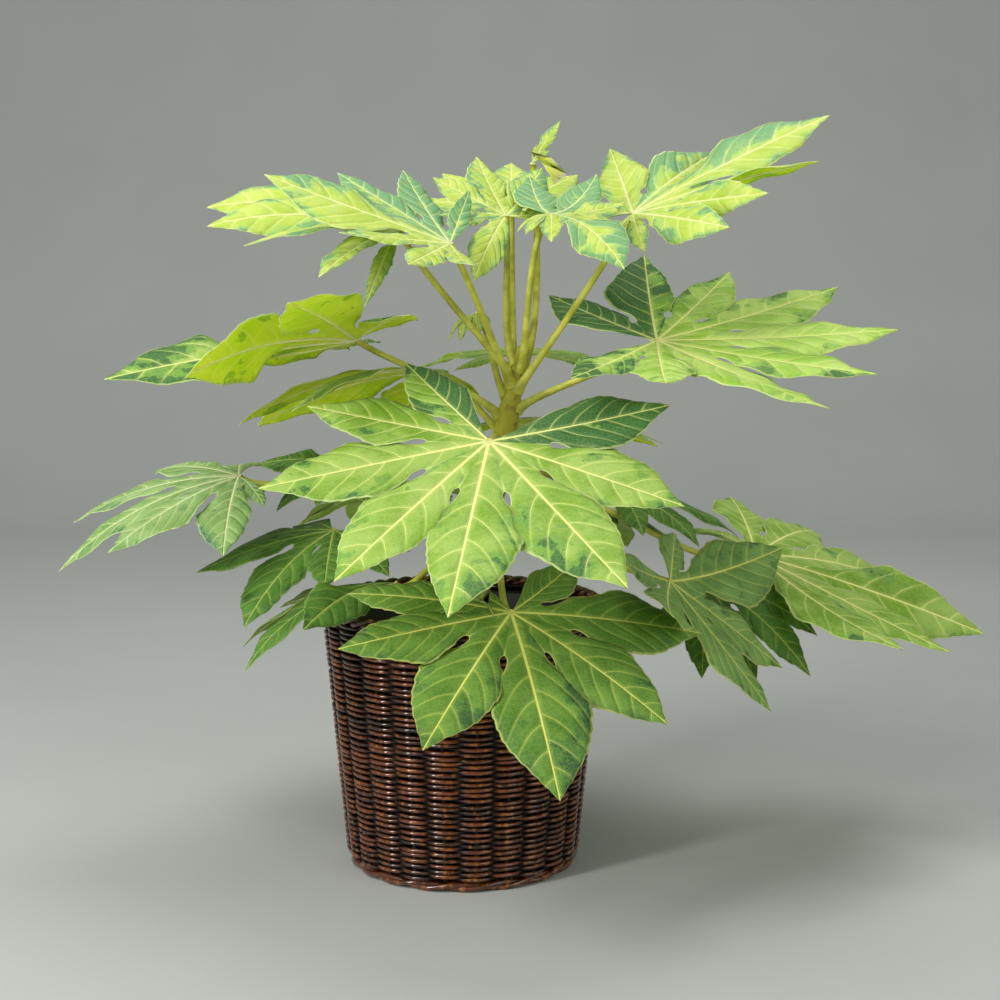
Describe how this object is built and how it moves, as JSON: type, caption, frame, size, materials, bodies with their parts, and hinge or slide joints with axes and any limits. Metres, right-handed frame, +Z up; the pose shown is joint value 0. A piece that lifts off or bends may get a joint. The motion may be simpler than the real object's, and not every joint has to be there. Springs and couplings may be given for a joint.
{
  "type": "potted fatsia japonica",
  "caption": "Fatsia japonica with palmate, deeply lobed variegated leaves on long stalks around one upright stem, in a nursery pot inside a dark woven wicker basket.",
  "frame": {"origin": "centre of the basket's underside, on the surface it stands on", "axes": "+Z up along the basket's axis, -Y towards the viewer of the picture, +X to the viewer's right"},
  "size_m": [0.9608, 0.6744, 0.7552],
  "materials": {
    "wicker": "dark brown varnished willow",
    "pot_plastic": "black moulded plastic",
    "potting_mix": "crumbly bark and peat",
    "bark": "green young bark with leaf scars",
    "leaf_old": "leathery mid green leaf with yellow veins",
    "leaf_middle": "leathery bright green leaf with dark sectors",
    "leaf_young": "soft yellow-green leaf with grey-green margins"
  },
  "bodies": {
    "root": {"basket_wall": "wicker", "basket_rim": "wicker", "basket_foot": "wicker", "basket_base": "wicker", "nursery_pot": "pot_plastic", "soil": "potting_mix", "stem": "bark", "leaf_front_upper": "leaf_middle", "leaf_front_lower": "leaf_old", "leaf_right_middle": "leaf_middle", "leaf_left_middle": "leaf_middle", "leaf_left_inner": "leaf_middle", "leaf_left_low": "leaf_old", "leaf_left_rim": "leaf_old", "leaf_front_left_rim": "leaf_old", "leaf_front_right_rim": "leaf_old", "leaf_right_low": "leaf_middle", "leaf_right_inner": "leaf_old", "leaf_right_rim": "leaf_old", "leaf_back_middle": "leaf_middle", "leaf_back_right": "leaf_middle", "leaf_back_left_low": "leaf_old", "leaf_back_right_low": "leaf_old", "leaf_left_behind": "leaf_old", "leaf_top_left": "leaf_young", "leaf_top_left_back": "leaf_young", "leaf_top_centre": "leaf_young", "leaf_top_front": "leaf_young", "leaf_top_right": "leaf_young", "leaf_top_back": "leaf_young", "young_leaf_spike": "leaf_young", "young_leaf_curled": "leaf_young"}
  },
  "joints": []
}
